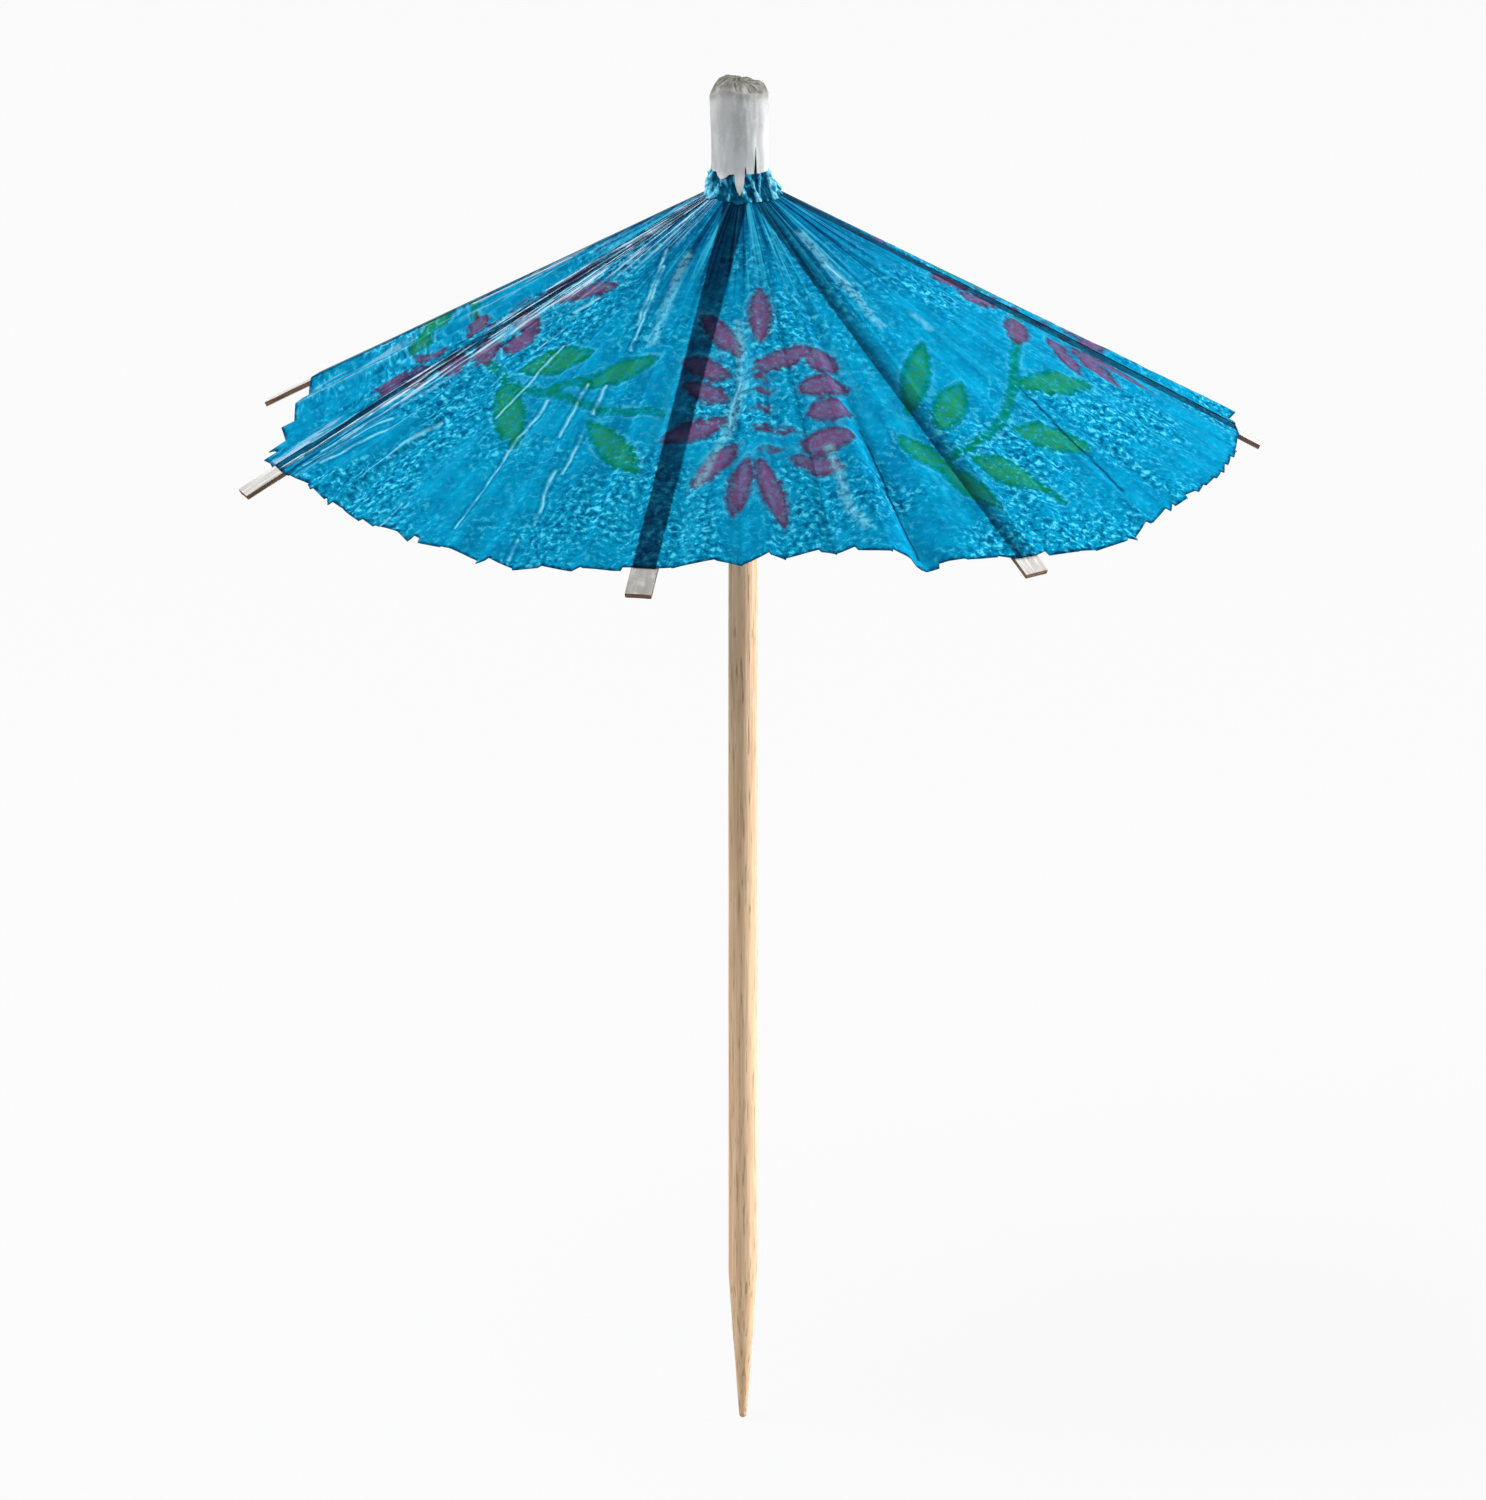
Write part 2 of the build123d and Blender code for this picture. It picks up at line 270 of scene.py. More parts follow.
GLINT_CREASES = (  # lines along which painted glints run, with painted shade beside them
    ((-68.0, 9.0), (-68.6, 20.0)), ((-68.0, 20.5), (-68.8, 27.5), (-70.5, 33.0)),
    ((-51.4, 11.6), (-53.1, 13.7)), ((-51.0, 15.4), (-53.0, 17.6)),
    ((-46.4, 16.7), (-46.0, 20.0), (-45.6, 24.5)), ((-38.0, 21.9), (-37.9, 27.2), (-36.6, 35.2)),
    ((-32.4, 19.8), (-31.2, 25.1)), ((-27.7, 19.7), (-27.7, 22.5)),
    ((-27.3, 24.8), (-26.8, 28.4)), ((-28.1, 28.3), (-26.7, 33.5)), ((-41.0, 5.8), (-30.2, 13.3)),
    ((-35.5, 7.5), (-27.5, 16.0)), ((-27.5, 35.4), (-27.4, 37.4)), ((-47.2, 34.2), (-47.1, 36.6)),
    ((-61.6, 26.0), (-66.5, 34.0)), ((-55.3, 26.3), (-57.8, 33.6)), ((-65.2, 28.1), (-70.0, 34.6)),
    ((0.6, 18.7), (-1.8, 23.7)), ((14.9, 26.8), (15.1, 30.3)), ((44.0, 7.5), (42.6, 11.5)),
    ((-76.0, 8.0), (-75.4, 13.0)), ((-75.3, 15.7), (-74.8, 22.0)), ((-74.6, 24.0), (-74.3, 34.0)),
)
SOFT_GLINTS = (  # broader painted highlights
    ((0.9, 12.6), (1.1, 19.7), (-1.8, 23.7), (-5.8, 28.6)), ((14.9, 25.8), (15.1, 32.3), (16.0, 34.4)),
    ((46.0, 4.5), (43.0, 9.0), (42.0, 14.5)), ((56.0, 14.6), (55.4, 16.0)), ((-27.0, 6.0), (-23.0, 15.0)),
)
DARK_CREASES = (  # sharp folds that hold a shadow
    ((22.1, 23.9), (22.0, 29.4), (21.6, 37.0)), ((59.7, 23.8), (57.3, 29.2), (55.9, 35.0)),
    ((-70.4, 7.0), (-71.6, 34.0)), ((-78.2, 7.0), (-76.6, 34.0)),
)
FLAT_MIDDLE = 8.5  # the azimuth that lies straight up when the paper's places are rolled flat
FLAT_TURN = cos(SLOPE)  # a cone of this slope lies flat in this share of a full circle
CONE_TIP = HINGE_RADIUS / cos(SLOPE)  # from the cone's tip down to the crease


def flat_point(azimuth, slant, middle):
    """Where a place on the paper lies when the cone is rolled flat, with one azimuth straight up."""
    turn = np.radians((np.asarray(azimuth) - middle + 180) % 360 - 180) * FLAT_TURN
    reach = np.asarray(slant) + CONE_TIP
    return reach * np.sin(turn), reach * np.cos(turn)


# Materials

class Shader:
    """The nodes of a material or a world, added one call at a time."""

    def __init__(self, name, kind="materials", surface="Principled BSDF"):
        self.owner = getattr(bpy.data, kind).new(name)
        self.owner.use_nodes = True
        self.tree = self.owner.node_tree
        self.surface = self.tree.nodes[surface]

    def put(self, socket, value):
        """Links a value to a socket, or sets it there."""
        if isinstance(value, bpy.types.NodeSocket):
            self.tree.links.new(value, socket)
        elif socket.type == "RGBA":
            socket.default_value = (*value, 1)
        else:
            socket.default_value = value

    def node(self, kind, inputs, output=0, **settings):
        made = self.tree.nodes.new(kind)
        for name, value in settings.items():
            setattr(made, name, value)
        for key, value in inputs.items():
            self.put(made.inputs[key], value)
        return made.outputs[output]

    def number(self, name):
        return self.node("ShaderNodeAttribute", {}, "Fac", attribute_name=name)

    def vector(self, name):
        return self.node("ShaderNodeAttribute", {}, "Vector", attribute_name=name)

    def noise(self, where, scale, detail=2.0, rough=0.5, distortion=0.0, output="Fac"):
        """Noise of one scale, or of a scale for each axis."""
        if isinstance(scale, tuple):
            where, scale = self.vectors("MULTIPLY", where, scale), 1.0
        inputs = {"Vector": where, "Scale": scale, "Detail": detail}
        inputs.update({"Roughness": rough, "Distortion": distortion})
        return self.node("ShaderNodeTexNoise", inputs, output)

    def vectors(self, operation, a, b, output=0):
        return self.node("ShaderNodeVectorMath", {0: a, 1: b}, output, operation=operation)

    def math(self, operation, a, b=0.0):
        return self.node("ShaderNodeMath", {0: a, 1: b}, operation=operation)

    def times(self, a, b):
        return self.math("MULTIPLY", a, b)

    def plus(self, a, b):
        return self.math("ADD", a, b)

    def larger(self, a, b):
        return self.math("MAXIMUM", a, b)

    def step(self, value, low, high, start=0.0, end=1.0):
        """Rises smoothly from start to end while value goes from low to high."""
        inputs = {"Value": value, "From Min": low, "From Max": high, "To Min": start, "To Max": end}
        return self.node("ShaderNodeMapRange", inputs, interpolation_type="SMOOTHSTEP")

    def band(self, value, middle, half_width, strength):
        """Full strength where value is at the middle, and nothing from half_width away."""
        away = self.math("ABSOLUTE", self.math("SUBTRACT", value, middle))
        return self.step(away, 0.0, half_width, strength, 0.0)

    def mix(self, share, a, b, blend="MIX"):
        inputs = {0: share, 6: a, 7: b}
        return self.node("ShaderNodeMix", inputs, 2, data_type="RGBA", blend_type=blend)

    def darken(self, share, colour, tint):
        return self.mix(share, colour, tint, "MULTIPLY")

    def nearest_line(self, where, lines):
        """Distance from a place on the flat paper to the nearest of some bent lines."""
        best = None
        for line in lines:
            points = [Vector((*(float(c) for c in flat_point(*place, FLAT_MIDDLE)), 0)) for place in line]
            for start, end in zip(points, points[1:]):
                span = end - start
                away = self.vectors("SUBTRACT", where, start)
                along = self.vectors("DOT_PRODUCT", away, span / span.length_squared, "Value")
                along = self.node("ShaderNodeClamp", {"Value": along})
                foot = self.node("ShaderNodeVectorMath", {0: span, "Scale": along}, operation="SCALE")
                gap = self.vectors("DISTANCE", away, foot, "Value")
                best = gap if best is None else self.math("MINIMUM", best, gap)
        return best

    def seen_itself(self):
        """One for rays that show the background straight, in a gloss or through something."""
        kinds = "Is Camera Ray", "Is Glossy Ray", "Is Transmission Ray"
        straight, gloss, through = (self.node("ShaderNodeLightPath", {}, kind) for kind in kinds)
        return self.larger(self.larger(straight, gloss), through)

    def blend(self, share, other):
        """Mixes another shader into the surface."""
        inputs = {0: share, 1: self.surface.outputs["BSDF"], 2: other}
        mixed = self.node("ShaderNodeMixShader", inputs)
        self.put(self.tree.nodes["Material Output"].inputs["Surface"], mixed)

    def finish(self, colour, roughness, bump=None, bump_height=0.0, **values):
        """Gives the surface its colour, roughness, bump and other values."""
        values.update(Base_Color=colour, Roughness=roughness)
        if bump is not None:
            inputs = {"Height": bump, "Strength": 1.0, "Distance": bump_height * MM}
            values["Normal"] = self.node("ShaderNodeBump", inputs)
        for key, value in values.items():
            self.put(self.surface.inputs[key.replace("_", " ")], value)
        return self.owner


INKS = (  # print, colour at the outline and in the middle of its forms, and least cover
    ("green", (0.0, 0.185, 0.055), (0.015, 0.26, 0.08), 0.38),
    ("magenta", (0.085, 0.022, 0.08), (0.19, 0.06, 0.175), 0.6),
)
GLOW = 0.18  # the share of light that the tissue lets through


def canopy_material():
    """Dyed tissue with a two-colour print, painted highlights and shade on its creases, folds and crinkles,
    and the painted shade of the ribs showing through.
    """
    s = Shader("canopy_paper")
    flat, polar = s.vector("flat"), s.vector("polar")
    to_rim, pleat, handled = s.number("rim"), s.number("crest"), s.number("handled")
    grain = s.noise(flat, 2.2, 3.0, 0.6, 0.4)
    patches = s.noise(flat, 0.085, 3.0, 0.55, 0.5)
    mottle = s.noise(flat, (0.5, 0.5, 1.0), 3.0, 0.6)
    breaks = s.noise(flat, 0.5, 3.0, 0.6)
    ragged = s.times(s.math("SUBTRACT", s.noise(flat, 2.2, 3.0, 0.6), 0.5), 0.5)
    streaks = s.noise(polar, 1.0, 4.0, 0.6)
    gathers = s.noise(polar, 0.5, 4.0, 0.68)
    hair = s.noise(polar, 2.6, 3.0, 0.6)

    # The dye, in smooth patches and in crinkled ones, where dark and bright flecks paint the shade and
    # highlights of the crinkles
    plain = s.mix(s.step(mottle, 0.35, 0.65), (0.0, 0.245, 0.47), (0.0, 0.35, 0.61))
    rough = s.mix(s.step(grain, 0.37, 0.52), (0.0, 0.085, 0.22), (0.0, 0.335, 0.58))
    rough = s.mix(s.step(grain, 0.54, 0.64), rough, (0.11, 0.76, 0.95))
    crinkled = s.step(patches, 0.40, 0.62, 0.12, 0.9)
    colour = s.mix(crinkled, plain, rough)

    # Small folds that run outwards, strongest near the crown: the paper darker towards the crown, painted
    # shade in their furrows and hollows, painted highlights on their ridges and folds
    near_top = s.step(to_rim, 22.0, 35.0)
    colour = s.darken(s.times(near_top, 0.6), colour, (0.3, 0.42, 0.54))
    painted_furrow_shade = s.times(s.step(streaks, 0.36, 0.50, 1.0, 0.0), s.step(near_top, 0.0, 1.0, 0.28, 0.85))
    colour = s.darken(painted_furrow_shade, colour, (0.2, 0.38, 0.5))
    # painted highlight along the ridges of the small folds
    ridge = s.times(s.step(streaks, 0.55, 0.70), s.step(near_top, 0.0, 1.0, 0.22, 0.7))
    colour = s.mix(ridge, colour, (0.03, 0.52, 0.76))
    bunched = s.step(to_rim, 25.0, 36.0)
    painted_hollow_shade = s.times(s.step(gathers, 0.40, 0.54, 0.9, 0.0), bunched)
    colour = s.darken(painted_hollow_shade, colour, (0.12, 0.3, 0.42))
    # painted highlight on the folds where the paper bunches
    fold = s.times(s.step(gathers, 0.54, 0.64, 0.0, 0.7), bunched)
    colour = s.mix(fold, colour, (0.06, 0.56, 0.78))

    # The print, with a pale halo
    ink_grain = s.noise(flat, 2.0, 3.0, 0.7)
    for name, outline, middle, cover in INKS:
        edge = s.plus(s.number(name), s.times(ragged, 1.4))
        ink = s.mix(s.step(edge, -0.7, -0.2, 1.0, 0.0), outline, middle)
        taken = s.step(ink_grain, 0.36, 0.58, cover, 1.0)
        colour = s.mix(s.times(s.step(edge, -0.26, 0.12, 0.92, 0.0), taken), colour, ink)
        halo = s.times(s.band(edge, 0.16, 0.16, 0.28), s.step(mottle, 0.40, 0.60))
        colour = s.mix(halo, colour, (0.14, 0.58, 0.78))

    # The shade of the ribs
    through = s.plus(s.number("rib"), s.times(ragged, 0.25))
    under = s.times(s.step(through, -0.10, 0.08, 1.0, 0.0), s.number("tone"))
    under = s.times(under, s.step(mottle, 0.3, 0.7, 1.0, 0.86))
    colour = s.darken(under, colour, (0.06, 0.105, 0.15))

    # Fine lines of painted glints and painted shade along some ribs, the dark cut rim and painted shade in
    # the valleys of the pleats
    painted_hair_shade = s.times(s.step(hair, 0.38, 0.46, 0.9, 0.0), handled)
    colour = s.darken(painted_hair_shade, colour, (0.08, 0.14, 0.24))
    painted_hair_glint = s.times(s.step(hair, 0.53, 0.59, 0.0, 1.0), handled)
    painted_hair_glint = s.times(painted_hair_glint, s.step(breaks, 0.38, 0.50, 0.3, 1.0))
    colour = s.mix(painted_hair_glint, colour, (0.58, 0.80, 0.93))
    cut_rim = s.step(s.plus(to_rim, ragged), 0.02, 0.34, 0.9, 0.0)
    colour = s.darken(cut_rim, colour, (0.1, 0.2, 0.3))
    painted_valley_shade = s.larger(s.times(pleat, -0.8), 0.0)
    colour = s.darken(painted_valley_shade, colour, (0.1, 0.22, 0.34))

    # Creases: dark folds with painted shadow, pale ones with painted glints and painted shade beside them,
    # soft broad painted highlights, and painted highlights on the pleat crests
    wander = s.vectors("MULTIPLY", s.noise(flat, 0.35, output="Color"), (0.8, 0.8, 0.0))
    bent = s.vectors("ADD", flat, wander)
    dark = s.plus(s.nearest_line(bent, DARK_CREASES), s.times(ragged, 0.3))
    dark = s.times(s.step(dark, 0.04, 0.22, 0.85, 0.0), s.step(breaks, 0.34, 0.48, 0.35, 1.0))
    colour = s.darken(dark, colour, (0.08, 0.16, 0.26))
    glint_crease_gap = s.plus(s.nearest_line(bent, GLINT_CREASES), s.times(ragged, 0.25))
    colour = s.darken(s.band(glint_crease_gap, 0.3, 0.16, 0.45), colour, (0.15, 0.35, 0.48))
    glint = s.times(s.step(glint_crease_gap, 0.0, 0.17, 0.8, 0.0), s.step(breaks, 0.38, 0.54, 0.15, 1.0))
    soft_glint = s.step(s.nearest_line(bent, SOFT_GLINTS), 0.05, 0.6, 0.34, 0.0)
    soft_glint = s.times(soft_glint, s.step(grain, 0.36, 0.56, 0.25, 1.0))
    crest = s.times(pleat, s.step(grain, 0.36, 0.48, 0.4, 0.9))
    glint = s.larger(s.larger(glint, soft_glint), s.larger(crest, 0.0))
    colour = s.mix(glint, colour, (0.30, 0.84, 1.0))

    height = s.plus(s.times(grain, crinkled), s.plus(glint, streaks))
    s.finish(colour, s.step(grain, 0.3, 0.7, 0.8, 0.6), height, 0.06, Specular_IOR_Level=0.02)
    s.blend(GLOW, s.node("ShaderNodeBsdfTranslucent", {"Color": colour}, "BSDF"))
    return s.owner


def card_material():
    """White-faced card, greyed by handling, with brown cut edges."""
    s = Shader("card")
    grain = s.vector("grain")
    lines = s.noise(grain, (0.35, 6.0, 6.0), 4.0, 0.6)
    blotch = s.noise(grain, 0.5, 3.0)
    face = s.mix(s.step(lines, 0.38, 0.66), (0.50, 0.485, 0.46), (0.80, 0.79, 0.77))
    face = s.mix(s.step(blotch, 0.45, 0.7, 0.0, 0.5), face, (0.56, 0.53, 0.48))
    ply = s.noise(grain, (0.5, 1.0, 26.0), 2.0)
    cut = s.mix(s.step(ply, 0.38, 0.62), (0.055, 0.030, 0.016), (0.20, 0.12, 0.07))
    dirt = s.step(s.noise(grain, 0.8, 4.0, 0.65), 0.3, 0.55, 0.4, 1.0)
    face = s.mix(s.times(s.number("soil"), dirt), face, (0.26, 0.25, 0.235))
    under = s.mix(s.step(lines, 0.35, 0.65), (0.36, 0.31, 0.25), (0.52, 0.47, 0.40))
    colour = s.mix(s.number("underside"), face, under)
    colour = s.mix(s.number("cut"), colour, cut)
    return s.finish(colour, 0.72, lines, 0.04, Specular_IOR_Level=0.3)


def wood_material():
    """Bare birch with fine lengthwise grain and short dark pores."""
    s = Shader("stick")
    grain = s.vector("grain")
    bands = s.noise(grain, (1.1, 1.1, 0.035), 4.0, 0.55, 0.4)
    fine = s.noise(grain, (7.0, 7.0, 0.16), 3.0, 0.6)
    pores = s.noise(grain, (9.0, 9.0, 0.45), 1.0, 0.5)
    colour = s.mix(s.step(bands, 0.32, 0.68), (0.57, 0.36, 0.2), (0.73, 0.5, 0.305))
    colour = s.mix(s.step(fine, 0.42, 0.66, 0.0, 0.55), colour, (0.82, 0.63, 0.435))
    colour = s.mix(s.step(pores, 0.62, 0.72, 0.0, 0.6), colour, (0.33, 0.18, 0.085))
    colour = s.mix(s.step(s.number("tip"), 0.1, 1.0, 0.0, 0.35), colour, (0.46, 0.28, 0.14))
    height = s.math("SUBTRACT", fine, s.step(pores, 0.6, 0.72))
    return s.finish(colour, s.step(fine, 0.3, 0.7, 0.66, 0.5), height, 0.05, Specular_IOR_Level=0.35)


def white_paper_material():
    """Soft white rolled paper, darker olive-grey where it is folded in."""
    s = Shader("white_paper")
    grain = s.vector("grain")
    fibre = s.noise(grain, 2.2, 4.0, 0.6)
    smudge = s.noise(grain, (0.7, 0.7, 0.25), 3.0)
    colour = s.mix(s.step(smudge, 0.36, 0.62), (0.43, 0.43, 0.425), (0.55, 0.55, 0.55))
    colour = s.mix(s.step(fibre, 0.5, 0.7, 0.0, 0.35), colour, (0.62, 0.62, 0.615))
    darkened = s.step(s.noise(grain, 0.9, 4.0, 0.7), 0.30, 0.56, 0.4, 1.0)
    colour = s.mix(s.times(s.number("fold"), darkened), colour, (0.15, 0.145, 0.115))
    return s.finish(colour, 0.66, fibre, 0.03, Specular_IOR_Level=0.25)


def rolled_paper_material():
    """Rolled waste paper, grey and beige in its layers."""
    s = Shader("rolled_paper")
    grain = s.vector("grain")
    fibre = s.noise(grain, (2.0, 2.0, 1.2), 5.0, 0.65)
    layer = s.noise(grain, (0.6, 0.6, 0.2), 2.0)
    colour = s.mix(s.step(fibre, 0.35, 0.65), (0.47, 0.425, 0.345), (0.66, 0.62, 0.53))
    colour = s.mix(s.step(layer, 0.5, 0.62, 0.0, 0.5), colour, (0.40, 0.39, 0.37))
    return s.finish(colour, 0.8, fibre, 0.06, Specular_IOR_Level=0.25)


def ring_material():
    """Pink elastic with a slight bloom."""
    s = Shader("ring")
    grain = s.vector("grain")
    bloom = s.noise(grain, 1.4, 4.0, 0.6)
    drawn = s.noise(grain, (1.0, 1.0, 8.0), 2.0)
    colour = s.mix(s.step(bloom, 0.36, 0.66), (0.78, 0.045, 0.165), (0.90, 0.115, 0.27))
    return s.finish(colour, s.step(bloom, 0.3, 0.7, 0.36, 0.55), drawn, 0.03, Specular_IOR_Level=0.5)


PAPER = canopy_material()
CARD = card_material()
WOOD = wood_material()
WHITE = white_paper_material()
ROLLED = rolled_paper_material()
PINK = ring_material()


# Distances to the print

FAR = 9.0  # the distance that is given where no print is near
PETAL_PLUMP = 2.3


def spindle(u, v, start, end, half_width, plump=2.0):
    """Distance, below zero inside, to a pointed oval between two points."""
    length = hypot(end[0] - start[0], end[1] - start[1])
    du, dv = (end[0] - start[0]) / length, (end[1] - start[1]) / length
    u, v = u - (start[0] + end[0]) / 2, v - (start[1] + end[1]) / 2
    x, y = u * du + v * dv, v * du - u * dv
    bulge = half_width * (1 - np.clip(np.abs(2 * x / length), 0, 1) ** plump)
    return np.maximum(np.abs(y) - bulge, np.abs(x) - length / 2)


def flower(azimuth, slant, place):
    middle, reach, turn = place
    u, v = flat_point(azimuth, slant, middle)
    v = v - reach - CONE_TIP
    c, d = cos(radians(turn)), sin(radians(turn))
    u, v = u * c + v * d, v * c - u * d
    forms = [spindle(u, v, p[:2], p[2:4], p[4], PETAL_PLUMP) for p in PETALS]
    for x, y in STAMENS:
        forms.append(spindle(u, v, (x - STAMEN_REACH, y), (x + STAMEN_REACH, y), STAMEN_HALF))
    return np.minimum.reduce(forms)


def leaf(azimuth, slant, base, tip, half_width):
    u, v = flat_point(azimuth, slant, base[0])
    return spindle(u, v, flat_point(*base, base[0]), flat_point(*tip, base[0]), half_width)


def stem(azimuth, slant, start, end):
    u, v = flat_point(azimuth, slant, start[0])
    (u0, v0), (u1, v1) = flat_point(*start, start[0]), flat_point(*end, start[0])
    du, dv = u1 - u0, v1 - v0
    t = np.clip(((u - u0) * du + (v - v0) * dv) / (du * du + dv * dv), 0, 1)
    return np.hypot(u - u0 - t * du, v - v0 - t * dv) - STEM_HALF


def print_distances(azimuth, slant):
    """Distances to the magenta and the green of the print."""
    magenta, green = [np.full(azimuth.shape, FAR)], [np.full(azimuth.shape, FAR)]
    for turn in PRINT_TURNS:
        here = azimuth - turn
        magenta += [flower(here, slant, place) for place in FLOWERS]
        green += [leaf(here, slant, *form) for form in LEAVES]
        for line in STEMS:
            green += [stem(here, slant, *ends) for ends in zip(line, line[1:])]
    return np.minimum.reduce(magenta), np.minimum.reduce(green)


# Canopy

LONG_WRINKLE = 0.13  # height of the crinkles that run outwards
FINE_WRINKLES = ((0.05, 0.75), (0.022, 1.9))  # height and scale of those across the whole sheet
CREST_BLUNT = 0.94
CREST_LINE = 0.09  # how far across a facet the painted highlight along a crest reaches
VALLEY_SHADE_SHARE = 0.7  # how strong the painted shade in the valleys is, beside the crest highlights
PLEAT_DRIFT = 0.1  # how far a pleat wanders on its way out, as a share of the half gore
STRIP_COLUMNS = 9


def half_gores():
    """For each gore, its two halves from the rib to the crease in the middle, with irregular pleats."""
    swell = np.array(RIM_SWELL).T
    rim_at_rib = np.random.default_rng(SEED).uniform(-0.1, 0.2, len(RIBS))
    halves = {}
    for index, gore in enumerate(GORES):
        rng = np.random.default_rng(SEED + 1 + index)
        rise = GORE_RISES[index]
        middle_height = -rise * rng.uniform(0.7, 1.1)
        middle_rim = rng.uniform(-0.2, 0.0)
        count = 2 * round(gore / 2 / PLEAT_ANGLE) + 1
        uneven = np.where(np.arange(count) % 2 == 0, 0.7, 1.3)
        sign = np.array([0] + [1 if k % 2 == 0 else -1 for k in range(1, count + 1)])
        for side, rib in ((1, index), (-1, (index + 1) % len(RIBS))):
            fractions = np.concatenate([[0], np.cumsum(uneven * rng.uniform(0.7, 1.3, count))])
            fractions /= fractions[-1]
            heights = sign * rise * np.clip(rng.lognormal(-0.1, 0.4, count + 1), 0.35, 1.9)
            rims = sign * rise * 0.2 + rng.uniform(-0.16, 0.16, count + 1)
            nicks = rng.uniform(0.0, 0.5, count) * rng.choice((-1, 1), count)
            glints = GORE_GLINTS[index] * np.clip(rng.uniform(-0.4, 1.4, count + 1), 0, 1)
            heights[-1], rims[-1], rims[0] = middle_height, middle_rim, rim_at_rib[rib]
            azimuths = RIBS[rib].azimuth + side * fractions * gore / 2
            rims += np.interp((azimuths + 180) % 360 - 180, *swell)
            sag = GORE_SAGS[index]
            halves[rib, side] = Half(side, gore / 2, fractions, heights, rims, nicks, glints, sag)
    return halves


def paper_wrinkle(azimuth, slant, off_rib):
    """Height of the crinkles: long ones that run outwards, and fine ones across the whole sheet."""
    turn = np.radians(azimuth)
    long = grid(np.cos(turn) * 11, np.sin(turn) * 11, slant * 0.16)
    level = HINGE_RADIUS + slant * cos(SLOPE)
    fine = grid(np.sin(turn) * level, -np.cos(turn) * level, -slant * sin(SLOPE))
    height = LONG_WRINKLE * ripple(long, 1.0) * smooth(2, 20, slant)
    for rise, scale in FINE_WRINKLES:
        height += rise * ripple(fine, scale)
    glued_down = 0.12 + 0.88 * smooth(0.7, 2.2, off_rib)
    return height * glued_down * smooth(-1, 4, slant)


def deep_folds(azimuth, slant):
    height = np.zeros(azimuth.shape)
    for middle, rise, half_width in DEEP_FOLDS:
        height += rise * tent(azimuth, middle, half_width, 360)
    return height * smooth(8, PAPER_REACH, slant)


def paper_piece(name, rib, azimuth, slant, spot, upper, height, crest, off_rib, to_rim):
    """A thin closed piece of canopy paper over base points, with the numbers for its print, its rim, and
    the highlights and shade painted on it.
    """
    lift = PAPER_UNDER + PAPER_THICKNESS + height + paper_wrinkle(azimuth, slant, np.abs(off_rib))
    outer = spot + upper * lift[..., None]
    inner = outer - upper * PAPER_THICKNESS
    points, faces = solid_sheet(outer, inner)
    node, body = f"canopy_panel_{rib.number}", f"rib_{rib.number}"
    piece = add_mesh(name, points, faces, PAPER, body, [node], sharp=60)
    magenta, green = print_distances(azimuth, slant)
    u, v = flat_point(azimuth, slant, FLAT_MIDDLE)
    dark_left, dark_right = RIB_TONES[rib.number - 1]
    tone = dark_left + (dark_right - dark_left) * smooth(-0.7, 0.7, off_rib)
    shadow = np.abs(off_rib) - SHADOW_HALF
    # where fine lines of painted glints and painted shade run beside a rib
    handled = RIB_PAINTED_LINES.get(rib.number, 0.0) * smooth(3.8, 1.2, np.abs(off_rib))
    add_to_sheet(piece, magenta=magenta, green=green, crest=crest, tone=tone)
    add_to_sheet(piece, rim=to_rim, rib=shadow, handled=handled)
    add_places(piece, u, v, azimuth, slant)
    return piece


def add_places(piece, u, v, azimuth, slant):
    """Where both faces of a paper lie: flat for its grain, and round the stick for its folds."""
    turn = np.radians(azimuth)
    polar = grid(FOLDS_ROUND * np.cos(turn), FOLDS_ROUND * np.sin(turn), FOLDS_ALONG * slant)
    add_to_sheet(piece, flat=grid(u, v, 0.0), polar=polar)


def glued_strip(rib, rim):
    """The paper that is glued flat on a rib."""
    share = np.linspace(0, 1, PAPER_ROWS)[:, None]
    across = np.linspace(-STRIP_HALF, STRIP_HALF, STRIP_COLUMNS)[None, :]
    slant = PAPER_START + share * (PAPER_REACH + rim - PAPER_START) + 0 * across
    across = across + 0 * share
    level = HINGE_RADIUS + slant * cos(SLOPE)
    azimuth = rib.azimuth + np.degrees(np.arctan2(across, level))
    spot = rib.crease + slant[..., None] * rib.along + across[..., None] * rib.across
    upper = np.broadcast_to(rib.upper, spot.shape)
    none = np.zeros_like(slant)
    to_rim = PAPER_REACH + rim - slant
    name = f"canopy_strip_{rib.number}"
    return paper_piece(name, rib, azimuth, slant, spot, upper, none, none, across, to_rim)


